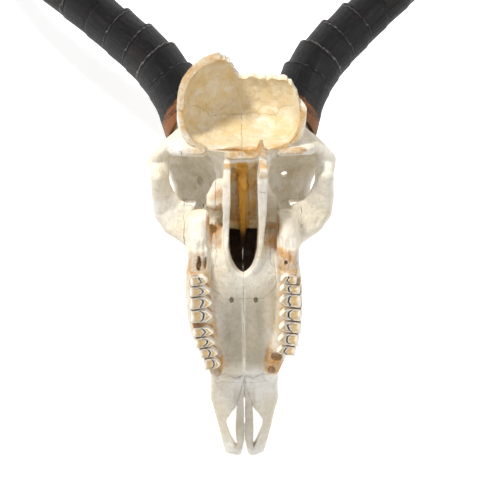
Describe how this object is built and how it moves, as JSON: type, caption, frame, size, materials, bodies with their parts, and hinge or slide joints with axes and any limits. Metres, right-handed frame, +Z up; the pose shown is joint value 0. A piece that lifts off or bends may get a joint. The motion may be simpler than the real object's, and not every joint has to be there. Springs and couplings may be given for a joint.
{
  "type": "impala skull",
  "caption": "Weathered antelope skull without its lower jaw, braincase sawn open, with two long ringed lyre-shaped horns, lying palate up.",
  "frame": {"origin": "centre of the bounding box's footprint on the floor, under the resting skull", "axes": "+Z up, +Y from the muzzle towards the horn tips, +X to the animal's right"},
  "size_m": [0.4778, 0.6682, 0.1261],
  "materials": {
    "bone": "dry weathered bone, matt, cream with ochre stains",
    "horn": "dark fibrous horn, satin"
  },
  "bodies": {
    "root": {"frontal_left": "bone", "frontal_right": "bone", "maxilla_left": "bone", "maxilla_right": "bone", "premaxilla_left": "bone", "premaxilla_right": "bone", "nasal_left": "bone", "nasal_right": "bone", "lacrimal_left": "bone", "lacrimal_right": "bone", "jugal_left": "bone", "jugal_right": "bone", "palatine_left": "bone", "palatine_right": "bone", "parietal": "bone", "sphenoid": "bone", "vomer": "bone", "horn_sheath_left": "horn", "horn_sheath_right": "horn"}
  },
  "joints": []
}
